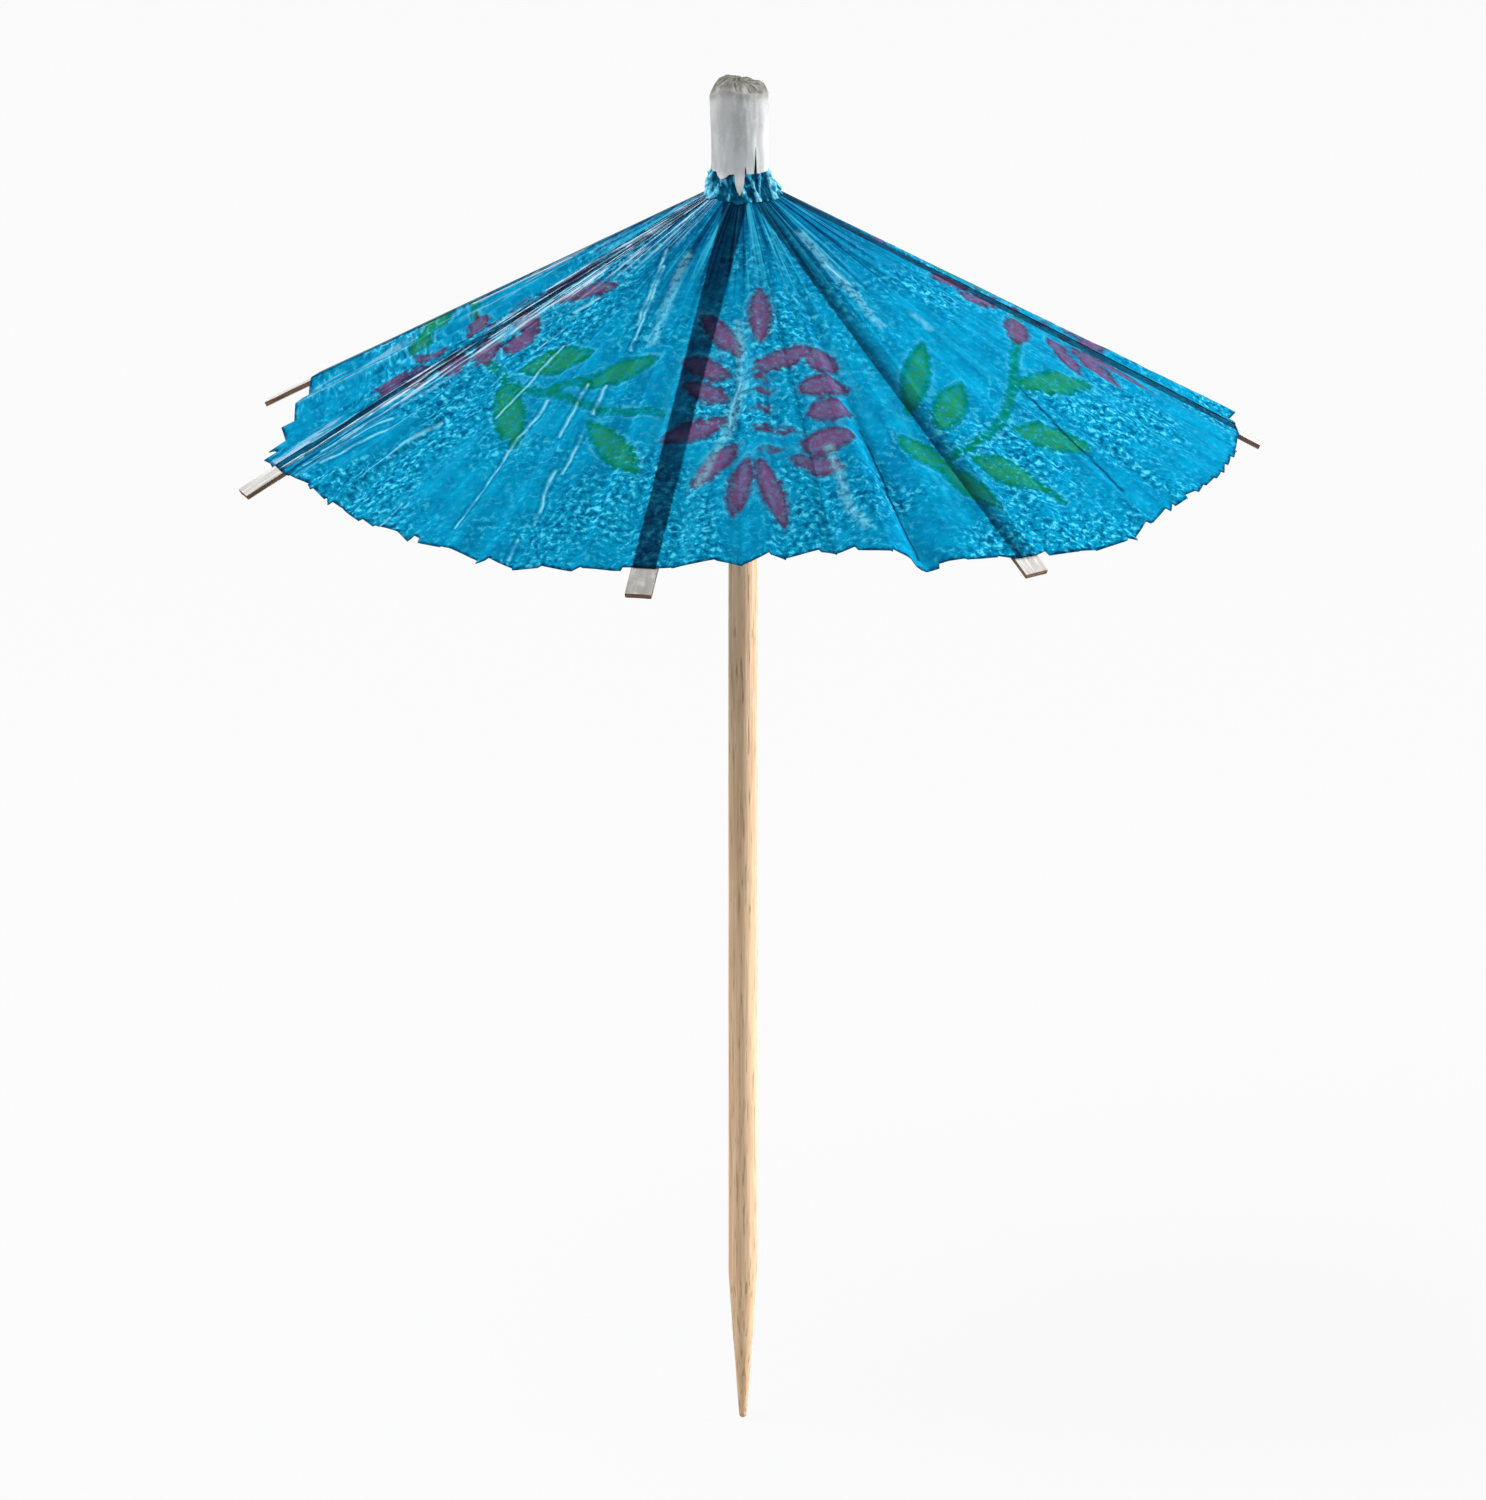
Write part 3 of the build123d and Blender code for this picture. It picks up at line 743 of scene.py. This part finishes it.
def pleated_half(rib, half):
    """The pleated paper from the glued strip to the crease in the middle of the gore."""
    steps, last = np.array(FACET_STEPS), len(half.fractions) - 1

    def across_facets(values):
        """The values at the steps across each facet, and the last of them."""
        start, end = values[:-1, None], values[1:, None]
        return np.append(start + steps * (end - start), values[-1])

    fraction = across_facets(half.fractions)
    blunt = np.where(steps == 0, CREST_BLUNT, 1.0)
    height = across_facets(half.heights) * np.append(np.tile(blunt, last), 1.0)
    rim = across_facets(half.rims) + np.append(half.nicks[:, None] * steps, 0.0)
    near = np.append(np.arange(last)[:, None] + (steps >= 0.5), last)
    # The painted highlight along each crest, fading across the facet
    crest_glint_line = smooth(CREST_LINE, 0.0, np.minimum(steps, 1 - steps))
    line = np.append(np.tile(crest_glint_line, last), 1.0)

    share = np.linspace(0, 1, PAPER_ROWS)[:, None]
    slant = PAPER_START + share * (PAPER_REACH + rim - PAPER_START)
    level = HINGE_RADIUS + slant * cos(SLOPE)
    reach = np.hypot(level, STRIP_HALF)
    first = np.degrees(np.arctan2(STRIP_HALF, level))
    own = rib.azimuth + half.side  # sets the noise of this half apart from the others
    drift = ripple(grid(fraction * half.angle * 0.12, slant * 0.05, own), 1.0)
    shifted = fraction + PLEAT_DRIFT * drift * np.sin(pi * fraction)
    away = first + shifted * (half.angle - first)
    azimuth = rib.azimuth + half.side * away
    spot = radial(azimuth) * reach[..., None]
    spot[..., 2] = HINGE_HEIGHT - slant * sin(SLOPE)
    upper = radial(rib.azimuth + half.side * shifted * half.angle) * sin(SLOPE)
    upper[..., 2] = cos(SLOPE)
    sag = half.sag * smooth(0, 0.65, fraction) * slant / PAPER_REACH
    pleat = height * (slant / PAPER_REACH) ** 0.9 + deep_folds(azimuth, slant) - sag
    off_rib = half.side * reach * np.sin(np.radians(away))
    # Painted highlights along the crests, above zero, and painted shade in the valleys, below zero
    breaks = ripple(grid(slant * 0.11, near * 5.3, own), 1.0)
    shown = smooth(-0.12, 0.15, breaks) * half.glints[near]
    sign = np.where(half.heights > 0, 1.0, VALLEY_SHADE_SHARE * np.sign(half.heights))
    crest = line * shown * sign[near] * smooth(3, 9, slant)
    grids = [azimuth, slant, spot, upper, pleat, crest, off_rib, PAPER_REACH + rim - slant]
    if half.side > 0:
        grids = [g[:, ::-1] for g in grids]
    side = "right" if half.side > 0 else "left"
    return paper_piece(f"canopy_pleats_{rib.number}_{side}", rib, *grids)


def canopy():
    halves = half_gores()
    for index, rib in enumerate(RIBS):
        strip = glued_strip(rib, halves[index, 1].rims[0])
        for side in (-1, 1):
            half = halves[index, side]
            piece = pleated_half(rib, half)
            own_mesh(piece)


# Card strips

CARD_ROWS = 40
CARD_ROUND = 0.03  # the corners at both ends
CARD_BEVEL = 0.05  # the long edges
CUT_SIDES = (4, 10)  # which sides of a section are the cut edges, and which the underside
UNDER_SIDES = (5, 6, 7, 8, 9)
RIB_LAP = 0.15  # how far the strips reach past their creases
STRETCHER_LAP = 0.12
TAB_SEED, STRETCHER_SEED = 20, 40


def card_strip(name, body, node, axes, span, half_widths, thickness, seed, soil=0.0):
    """A strip of card. axes are its origin, along, across and upper, half_widths (place, half width)."""
    rng = np.random.default_rng(seed)
    skew, cup, warp = rng.uniform(-0.12, 0.12), rng.uniform(0.0, 0.03), rng.uniform(0, 40)
    start, end = span
    inside = np.linspace(start + 0.25, end - 0.25, CARD_ROWS)
    places = np.concatenate([[start, start + CARD_ROUND], inside, [end - CARD_ROUND, end]])
    half = np.interp(places, *zip(*half_widths))
    half[[0, -1]] -= CARD_ROUND
    face, edge = thickness / 2, thickness / 2 - CARD_BEVEL
    rows = []
    for x, h in zip(places, half):
        widths = [-h + CARD_BEVEL, -h * 0.4, h * 0.4, h - CARD_BEVEL]
        section = [(y, face) for y in widths] + [(h, edge), (h, -edge)]
        section += [(y, -face) for y in widths[::-1]] + [(-h, -edge), (-h, edge)]
        bend = 0.02 * noise.noise(Vector((x * 0.25, warp, 0)))
        rag = 0.02 * noise.noise(Vector((x * 1.3, warp, 5)))
        ends = smooth(end - 2.5, end, x)
        for y, z in section:
            z += bend * ends - cup * (y / RIB_HALF) ** 2 * ends
            rows.append((x + skew * y * ends, y * (1 + rag), z))
    rows, count = np.array(rows), len(section)
    origin, along, across, upper = axes
    points = origin + rows[:, :1] * along + rows[:, 1:2] * across + rows[:, 2:] * upper
    faces = flipped(tube_faces(len(places), count))
    piece = add_mesh(name, points, faces, CARD, body, [node], sharp=35)
    add_numbers(piece, "grain", rows + np.array([warp, 0, 0]))
    part = np.tile(np.arange(count), len(places) - 1)
    for layer, sides, caps in (("cut", CUT_SIDES, [1.0, 1.0]), ("underside", UNDER_SIDES, [0.0, 0.0])):
        add_numbers(piece, layer, np.append(np.isin(part, sides), caps), "FACE")
    add_numbers(piece, "soil", soil * smooth(end - 8, end, rows[:, 0]))


def frame_strips():
    """The ribs, the tabs glued under them and the stretchers."""
    drop = RIB_THICKNESS / 2 + STRETCHER_GAP + STRETCHER_THICKNESS / 2
    link = hypot(STRETCHER_REACH, drop)
    link_slope = SLOPE + atan2(drop, STRETCHER_REACH)
    rib_widths = ((0, RIB_ROOT_HALF), (RIB_FLARE, RIB_HALF))
    plain = ((0, STRETCHER_HALF),)
    for rib in RIBS:
        n, own = rib.number, (rib.along, rib.across, rib.upper)
        card_strip(
            f"rib_card_{n}", f"rib_{n}", f"rib_{n}", (rib.crease, *own), (-RIB_LAP, RIB_LENGTH),
            rib_widths, RIB_THICKNESS, n, RIB_SOIL.get(n, 0.0),
        )
        tab_origin = rib.crease - rib.upper * (RIB_THICKNESS + STRETCHER_THICKNESS) / 2
        tab_span = TAB_START, TAB_START + TAB_LENGTH
        card_strip(
            f"tab_card_{n}", f"rib_{n}", f"stretcher_tab_{n}", (tab_origin, *own), tab_span,
            plain, STRETCHER_THICKNESS, TAB_SEED + n,
        )
        level = radial(np.array(rib.azimuth))
        out, down = level * cos(link_slope), UP * sin(link_slope)
        lower_side = level * sin(link_slope) - UP * cos(link_slope)
        axes = rib.crease + (out - down) * link, -out - down, rib.across, lower_side
        card_strip(
            f"stretcher_card_{n}", f"stretcher_{n}", f"stretcher_{n}", axes,
            (-STRETCHER_LAP, link + STRETCHER_LAP), plain, STRETCHER_THICKNESS, STRETCHER_SEED + n,
        )


# Stick, rolled paper and ring

STICK_SEGMENTS = 56
POINT_LENGTH = 11.0
POINT_RADIUS = 0.25  # the blunt end of the point, and its rounded tip
TIP_RADIUS = 0.12
SHANK_LENGTH = 48.0
HEAD_START = 79.0  # the thinner end under the crown
HEAD_INSET = 0.05
ROLLS = (  # piece, node, body, material, slot, wall, layers, ragged edge and seed
    ("crown_roll", "crown_core", "root", ROLLED, "rolled_paper", 0.5, 6, 0.06, 1),
    ("runner_roll", "runner_core", "runner", ROLLED, "rolled_paper", 0.35, 4, 0.06, 2),
    ("runner_paper", "runner_wrap", "runner", WHITE, "white_paper", 0.12, 2, 0.08, 4),
    ("rib_comb_band", "rib_band", "root", CARD, "card", 0.2, 0.99, 0.03, 3),
    ("stretcher_comb_band", "stretcher_band", "runner", CARD, "card", 0.2, 0.99, 0.03, 5),
)
ROLL_ROWS = 9
ROLL_STEPS = 64  # in a turn
LAYER_FILL = 0.86  # of a roll's wall


def stick():
    """The round stick, whittled to its point."""
    low, high = (np.array(c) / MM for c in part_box("pick_stick"))
    radius, tip, top = high[0], low[2], high[2]
    profile = [(TIP_RADIUS, tip), (POINT_RADIUS, tip + 0.1)]
    for t in np.linspace(0.03, 1, 40):
        profile.append((POINT_RADIUS + (radius - POINT_RADIUS) * t ** 0.93, tip + POINT_LENGTH * t))
    profile += [(radius, z) for z in np.linspace(0.5, SHANK_LENGTH, 60)]
    profile += [(radius - HEAD_INSET, z) for z in np.linspace(HEAD_START, top, 12)]
    r, z = (column[:, None] for column in np.array(profile).T)
    turn = np.linspace(0, 2 * pi, STICK_SEGMENTS, endpoint=False)
    rings = grid(r * np.cos(turn), r * np.sin(turn), z)
    whittled = 0.05 * ripple(rings * (1.6, 1.6, 0.35), 1.0) * smooth(1.5, -1.5, z)
    wobble = whittled + 0.012 * ripple(rings * (2.2, 2.2, 0.12), 1.0) - 0.012
    rings[..., :2] *= (1 + wobble)[..., None]
    points = rings.reshape(-1, 3)
    faces = tube_faces(len(profile), STICK_SEGMENTS)
    piece = add_mesh("stick_wood", points, faces, WOOD, "root", ["pick_stick"], sharp=50)
    add_numbers(piece, "grain", points)
    add_numbers(piece, "tip", smooth(0.5, tip, points[:, 2]))


def paper_roll(name, node, body, material, slot, wall, layers, ragged, seed):
    """A strip of paper or card rolled into the tube that its node fills."""
    low, high = (np.array(c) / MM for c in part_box(node))
    outer_radius = high[0]
    sheet = wall / layers * LAYER_FILL if layers > 1 else wall
    turn = np.linspace(0, 2 * pi * layers, int(layers * ROLL_STEPS) + 1)
    climb = (wall - sheet) * turn / turn.max()
    rows = np.linspace(0, 1, ROLL_ROWS)[:, None]
    rag = ragged * ripple(grid(np.cos(turn) * 3, np.sin(turn) * 3, turn * 0.3 + seed), 1.0)
    z = low[2] + ragged + rag + rows * (high[2] - low[2] - 2 * ragged)
    inner = outer_radius - wall + climb
    x, y = np.cos(turn + seed), np.sin(turn + seed)
    points, faces = solid_sheet(*(grid(r * x, r * y, z) for r in (inner + sheet, inner)))
    piece = add_mesh(name, points, flipped(faces), material, body, [node], sharp=50)
    add_to_sheet(piece, grain=grid(turn * outer_radius, climb * 30, z))


# Collar and finial

COLLAR_RADIUS = 1.86  # inside the wrap
COLLAR_WALL = 0.06
COLLAR_PLEATS = 17
COLLAR_ROWS, COLLAR_COLUMNS = 34, 361
COLLAR_TONE = 0.85  # shade in its recesses
COLLAR_TO_RIM = 27.0  # gives it the folds and shade that the canopy has near the crown
SKIRT = 0.75  # how far its lower edge flares
FINIAL_SHIFT = -0.24  # the wrap sits a little to the left of the stick's axis
FINIAL_WALL = 0.13
FINIAL_ROWS, FINIAL_COLUMNS = 30, 320  # rows in the body, and again in the top
FINIAL_OVERLAP = 0.5  # radians that the strip goes on past a full turn
FINIAL_PEAK = -0.75  # where the ridge of its folded top lies
BRIM_DROP = 0.32  # from the folded top to the bend
FINIAL_EDGE = (  # slits and tongues in its lower edge: turn, height and half width, turns in radians
    (-1.0, 2.0, 0.05), (-1.57, -1.45, 0.17), (-1.36, 0.6, 0.04), (-2.2, -0.4, 0.25), (-2.9, 0.5, 0.05),
    (0.6, 0.9, 0.04), (1.5, -0.6, 0.15), (2.4, 1.1, 0.04),
)


def collar():
    """The canopy paper gathered round the crown, bunched in small pleats under the white wrap."""
    low, high = (np.array(c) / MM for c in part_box("canopy_collar"))
    turn = np.linspace(0, 2 * pi, COLLAR_COLUMNS)
    t = np.linspace(0, 1, COLLAR_ROWS)[:, None]
    rng = np.random.default_rng(SEED + 60)
    ridge = np.zeros((COLLAR_ROWS, COLLAR_COLUMNS))
    for k in range(COLLAR_PLEATS):
        middle = 2 * pi * (k + rng.uniform(-0.45, 0.45)) / COLLAR_PLEATS
        middle = middle + rng.uniform(-0.9, 0.9) * (t - 0.3)
        width, height = rng.uniform(0.07, 0.24), rng.uniform(0.25, 1.0)
        ridge = np.maximum(ridge, height * tent(turn, middle, width))
    around = grid(np.cos(turn) * 4, np.sin(turn) * 4, t * 4)
    crumple = ripple(around, 1.1) + 0.8 * ripple(around, 2.7)
    wrap_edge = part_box("finial_wrap")[0].z / MM
    skirt = SKIRT + 0.35 * ripple(around[:1], 0.9)
    bottom = low[2] - 0.30 - 0.4 * (skirt - SKIRT)
    top = high[2] - 1.0
    z = bottom + t * (top - bottom)
    loose = smooth(wrap_edge + 0.15, wrap_edge - 0.55, z)
    z = z + 0.14 * crumple * loose * t
    radius = COLLAR_RADIUS + loose * (0.10 + 0.32 * ridge + 0.17 * crumple) + skirt * (1 - t) ** 3.2
    shift = FINIAL_SHIFT * smooth(bottom, wrap_edge, z)
    grids = [grid(r * np.sin(turn) + shift, -r * np.cos(turn), z) for r in (radius, radius - COLLAR_WALL)]
    points, faces = solid_sheet(*grids)
    nodes, slot = ["canopy_collar"], "canopy_paper"
    piece = add_mesh("collar_paper", points, flipped(faces), PAPER, "root", nodes, sharp=50)
    shadow = -1.0 + 2.0 * smooth(0.05, 0.35, ridge + 0.3 * crumple)
    # crest: painted highlights on the ridges of the pleats
    crest = smooth(0.1, 0.45, ridge) * smooth(-0.3, 0.15, crumple)
    even = np.ones(z.shape)
    add_to_sheet(piece, magenta=FAR * even, green=FAR * even, crest=crest, tone=COLLAR_TONE * even)
    add_to_sheet(piece, rim=COLLAR_TO_RIM * even, rib=shadow)
    add_places(piece, turn * 2.2, z, np.degrees(turn), z)


def folded_top(x, y, top):
    """Height of the finial's folded-in top: one steep and one easy slope from a low ridge."""
    off = x - FINIAL_PEAK
    slopes = np.where(off < 0, 0.5 * off ** 2 - 0.12 * off, 0.12 * off + 0.045 * off ** 2)
    return top - 0.33 - slopes - 0.05 * y ** 2


def finial():
    """The white wrap, rolled from one strip and crumpled in over the end of the stick."""
    low, high = (np.array(c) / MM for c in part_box("finial_wrap"))
    radius, bottom, top = high[0], low[2], high[2]
    seam = 0.9 - pi / 2
    turn = np.linspace(seam, seam + 2 * pi + FINIAL_OVERLAP, FINIAL_COLUMNS)[None, :]
    lap = turn.max() - FINIAL_OVERLAP
    roll = radius - 0.04 + 0.08 * smooth(lap - 0.25, lap, turn)
    x, y = np.cos(turn), np.sin(turn)
    around = grid(x * 3, y * 3, 0.0)

    # The body, from its torn lower edge to the bend
    slit = np.zeros_like(turn)
    for middle, height, half_width in FINIAL_EDGE:
        slit += height * tent(turn, middle, half_width) ** 0.6
    base = bottom - 0.03 + 0.08 * ripple(around, 1.4) + slit
    brim = folded_top(roll * x, roll * y, top) - BRIM_DROP + 0.05 * ripple(around, 1.2)
    rows = np.linspace(0, 1, FINIAL_ROWS)[:, None]
    z_body = base + rows * (brim - base)
    folds = grid(x * 1.5, y * 1.5, z_body * 0.16)
    r_body = roll + 0.13 * ripple(folds, 1.0) + 0.03 * ripple(folds, 4.0)

    # The top, from the bend inwards
    q = np.linspace(0.03, 0.985, FINIAL_ROWS)[:, None]
    r_fold = r_body[-1:] * (1 - q ** 1.6) ** 0.8
    z_fold = folded_top(r_fold * x, r_fold * y, top) - BRIM_DROP * (1 - q) ** 3.5
    crumple = grid(r_fold * x, r_fold * y, 2.0)
    gather = 1 - np.abs(ripple(grid(x * 2, y * 2, q * 1.2), 1.0)) * 2
    bumps = 0.15 * ripple(crumple, 1.3) + 0.08 * ripple(crumple, 3.1) - 0.16 * gather ** 3
    z_fold = z_fold + bumps * smooth(0, 0.3, q)

    outer = np.concatenate([grid(r_body * x, r_body * y, z_body), grid(r_fold * x, r_fold * y, z_fold)])
    flare = 1 + 0.3 * smooth(bottom + 0.1, bottom - 1.3, outer[..., 2])
    outer[..., :2] *= flare[..., None]
    outer[..., 0] += FINIAL_SHIFT - 0.06 * smooth(bottom, top, outer[..., 2])
    inner = outer.copy()
    inner[..., :2] *= 1 - FINIAL_WALL / radius
    inner[len(rows):, :, 2] -= FINIAL_WALL
    points, faces = solid_sheet(outer, inner)
    nodes, slot = ["finial_wrap"], "white_paper"
    piece = add_mesh("finial_paper", points, flipped(faces), WHITE, "root", nodes, sharp=40)
    # darker olive-grey near the bend and over the folded-in top
    darkened = np.concatenate([0.6 * smooth(0.88, 1.0, rows), 0.6 + 0.4 * smooth(0, 0.3, q)])
    grain = grid(turn * radius, outer[..., 0], outer[..., 2])
    add_to_sheet(piece, grain=grain, fold=np.broadcast_to(darkened, outer.shape[:2]))


RING_WALL = 0.35
RING_FILL = 0.94  # of its height
RING_STEPS, RING_SECTION = 96, 20


def stop_ring():
    """The pink elastic ring, slightly uneven."""
    low, high = (np.array(c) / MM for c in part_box("stop_ring"))
    outer, middle, height = high[0], (low[2] + high[2]) / 2, high[2] - low[2]
    turn = np.linspace(0, 2 * pi, RING_STEPS, endpoint=False)[:, None]
    b = np.linspace(0, 2 * pi, RING_SECTION, endpoint=False)
    swell = 1 + 0.04 * ripple(grid(np.cos(turn) * 2, np.sin(turn) * 2, 3.0), 1.0)
    r = outer - RING_WALL / 2 + RING_WALL / 2 * np.sign(np.cos(b)) * np.abs(np.cos(b)) ** 0.55
    z = middle + height / 2 * RING_FILL * swell * np.sign(np.sin(b)) * np.abs(np.sin(b)) ** 0.7
    points = grid(r * np.cos(turn), r * np.sin(turn), z).reshape(-1, 3)
    index = np.arange(z.size).reshape(z.shape)
    after = np.roll(index, -1, 0)
    quads = np.stack([index, after, np.roll(after, -1, 1), np.roll(index, -1, 1)], -1)
    faces = quads.reshape(-1, 4).tolist()
    piece = add_mesh("elastic_ring", points, faces, PINK, "ring", ["stop_ring"], sharp=60)
    add_numbers(piece, "grain", grid(turn * outer, r, z))


# Studio, in metres

CAMERA_ELEVATION = 16.5
LENS = 600.0
SENSOR = 36.0
CLIP = 0.01, 20
VIEW_HEIGHT = 107.0 * MM  # what the frame takes in from top to bottom
LAMPS = (  # place, size and power
    ("top", (-0.5, -0.2, 0.82), 0.9, 10.5),
    ("right", (0.9, 0.02, 0.05), 0.4, 20.0),
    ("left", (-0.9, 0.1, 0.12), 0.45, 0.9),
)
AMBIENT = 0.25  # light from all round, where the white background isn't seen itself
FLOOR_HALF = 4.0
FLOOR_GAP = 0.0002  # under the tip of the stick
FLOOR_TONE = 0.62
FLOOR_WHITE = 0.9  # how far the floor is seen as plain white


def camera_and_lamps(middle):
    elevation = radians(CAMERA_ELEVATION)
    back = Vector((0, -cos(elevation), sin(elevation)))
    place = middle + back * (VIEW_HEIGHT * LENS / SENSOR)
    camera = add_object("camera", bpy.data.cameras.new("camera"), place)
    camera.rotation_euler = (-back).to_track_quat("-Z", "Y").to_euler()
    camera.data.lens, camera.data.sensor_width = LENS, SENSOR
    camera.data.clip_start, camera.data.clip_end = CLIP
    bpy.context.scene.camera = camera
    for name, place, size, power in LAMPS:
        light = bpy.data.lights.new(name, "AREA")
        light.size, light.energy = size, power
        lamp = add_object(name, light, place)
        lamp.rotation_euler = (middle - Vector(place)).to_track_quat("-Z", "Y").to_euler()


def white_world():
    s = Shader("studio", "worlds", "Background")
    s.put(s.surface.inputs["Color"], (1, 1, 1))
    s.put(s.surface.inputs["Strength"], s.step(s.seen_itself(), 0.0, 1.0, AMBIENT, 1.0))
    bpy.context.scene.world = s.owner


def white_floor(height):
    mesh = bpy.data.meshes.new("floor")
    corners = [(x * FLOOR_HALF, y * FLOOR_HALF, height) for x, y in ((-1, -1), (1, -1), (1, 1), (-1, 1))]
    mesh.from_pydata(corners, [], [(0, 1, 2, 3)])
    floor = add_object("floor", mesh)
    s = Shader("floor")
    s.finish([FLOOR_TONE] * 3, 0.9, Specular_IOR_Level=0.1)
    white = s.node("ShaderNodeEmission", {"Color": (1, 1, 1), "Strength": 1.0})
    s.blend(s.times(s.seen_itself(), FLOOR_WHITE), white)
    mesh.materials.append(s.owner)


def studio():
    bpy.context.scene.view_settings.view_transform = "Standard"
    low, high = cad_box
    camera_and_lamps(Vector((0, 0, (low.z + high.z) / 2)))
    white_world()
    white_floor(low.z - FLOOR_GAP)


canopy()
frame_strips()
stick()
for roll in ROLLS:
    paper_roll(*roll)
collar()
finial()
stop_ring()
studio()
